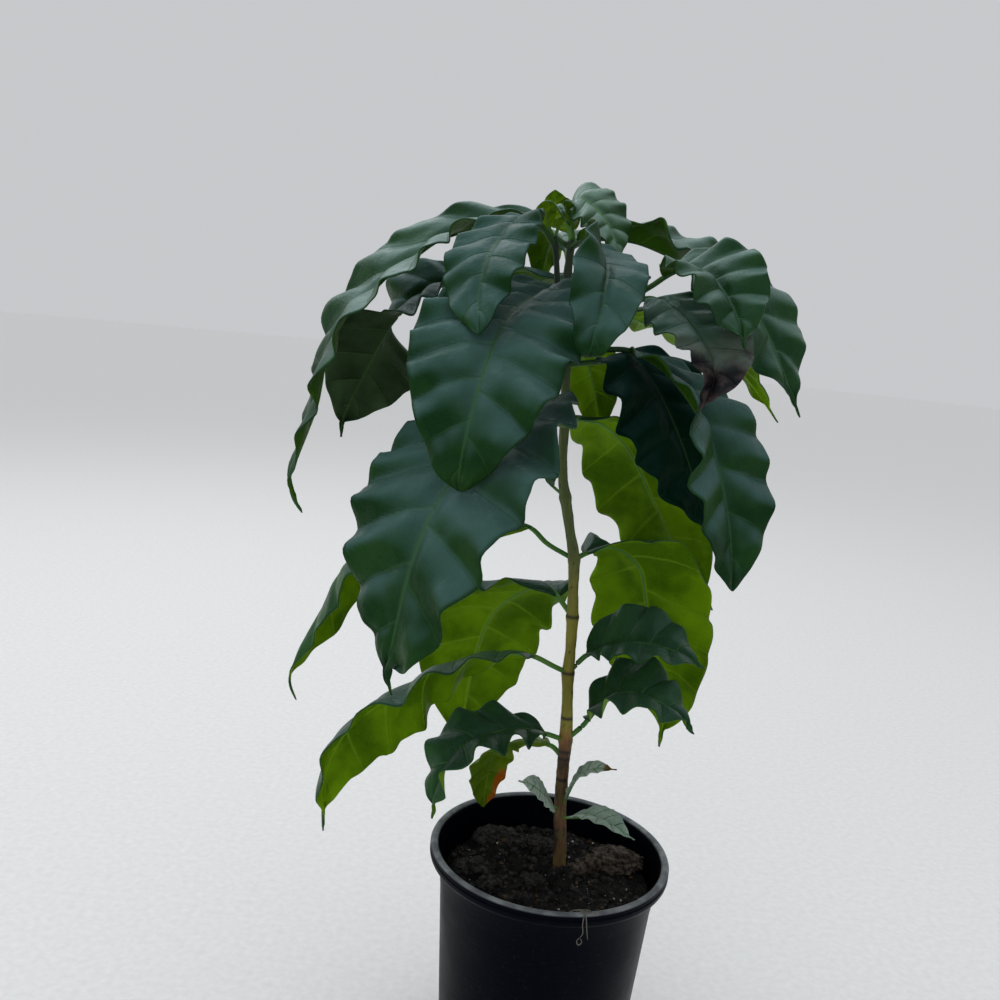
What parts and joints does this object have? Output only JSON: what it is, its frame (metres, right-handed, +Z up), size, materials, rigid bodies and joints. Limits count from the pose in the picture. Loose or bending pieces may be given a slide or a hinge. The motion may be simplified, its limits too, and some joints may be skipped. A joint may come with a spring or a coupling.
{
  "type": "potted coffee plant",
  "caption": "Young coffee plant in a round black nursery pot: a thin upright stem with broad, drooping, wavy-edged dark green leaves over brown soil",
  "frame": {"origin": "centre of the pot's flat underside, on the ground", "axes": "+Z up, along the pot's axis; +X to the right and +Y away for someone who looks at the front of the plant; the plant's front is where its two broadest leaves hang"},
  "size_m": [0.2281, 0.2007, 0.4101],
  "materials": {
    "pot": "satin",
    "soil": "matte",
    "stem": "matte",
    "shoot": "matte",
    "leaf": "satin",
    "leaf_young": "satin",
    "leaf_first": "satin"
  },
  "bodies": {
    "root": {"pot": "pot", "soil": "soil", "stem": "stem", "left_shoot": "shoot", "right_shoot": "shoot", "leaf_front_upper": "leaf", "leaf_front_lower": "leaf", "leaf_top_young": "leaf_young", "leaf_top_left": "leaf_young", "leaf_shoot_left": "leaf_young", "leaf_shoot_right": "leaf", "leaf_top_back": "leaf_young", "leaf_left_high": "leaf", "leaf_left_upper": "leaf", "leaf_left_middle": "leaf", "leaf_back_left": "leaf", "leaf_left_low": "leaf", "leaf_left_bottom": "leaf", "leaf_left_scorched": "leaf", "leaf_right_high": "leaf", "leaf_right_fold": "leaf", "leaf_right_dry_tip": "leaf", "leaf_right_back_high": "leaf", "leaf_right_front": "leaf", "leaf_right_shade": "leaf", "leaf_back_right_high": "leaf", "leaf_back_right_middle": "leaf", "leaf_back_right_low": "leaf", "leaf_right_low": "leaf", "leaf_right_bottom": "leaf", "leaf_left_small": "leaf_young", "leaf_back_high": "leaf", "leaf_first_left": "leaf_first", "leaf_first_right": "leaf_first", "leaf_first_front": "leaf_first", "leaf_bud_arched": "leaf_young", "leaf_bud_curled": "leaf_young"}
  },
  "joints": []
}
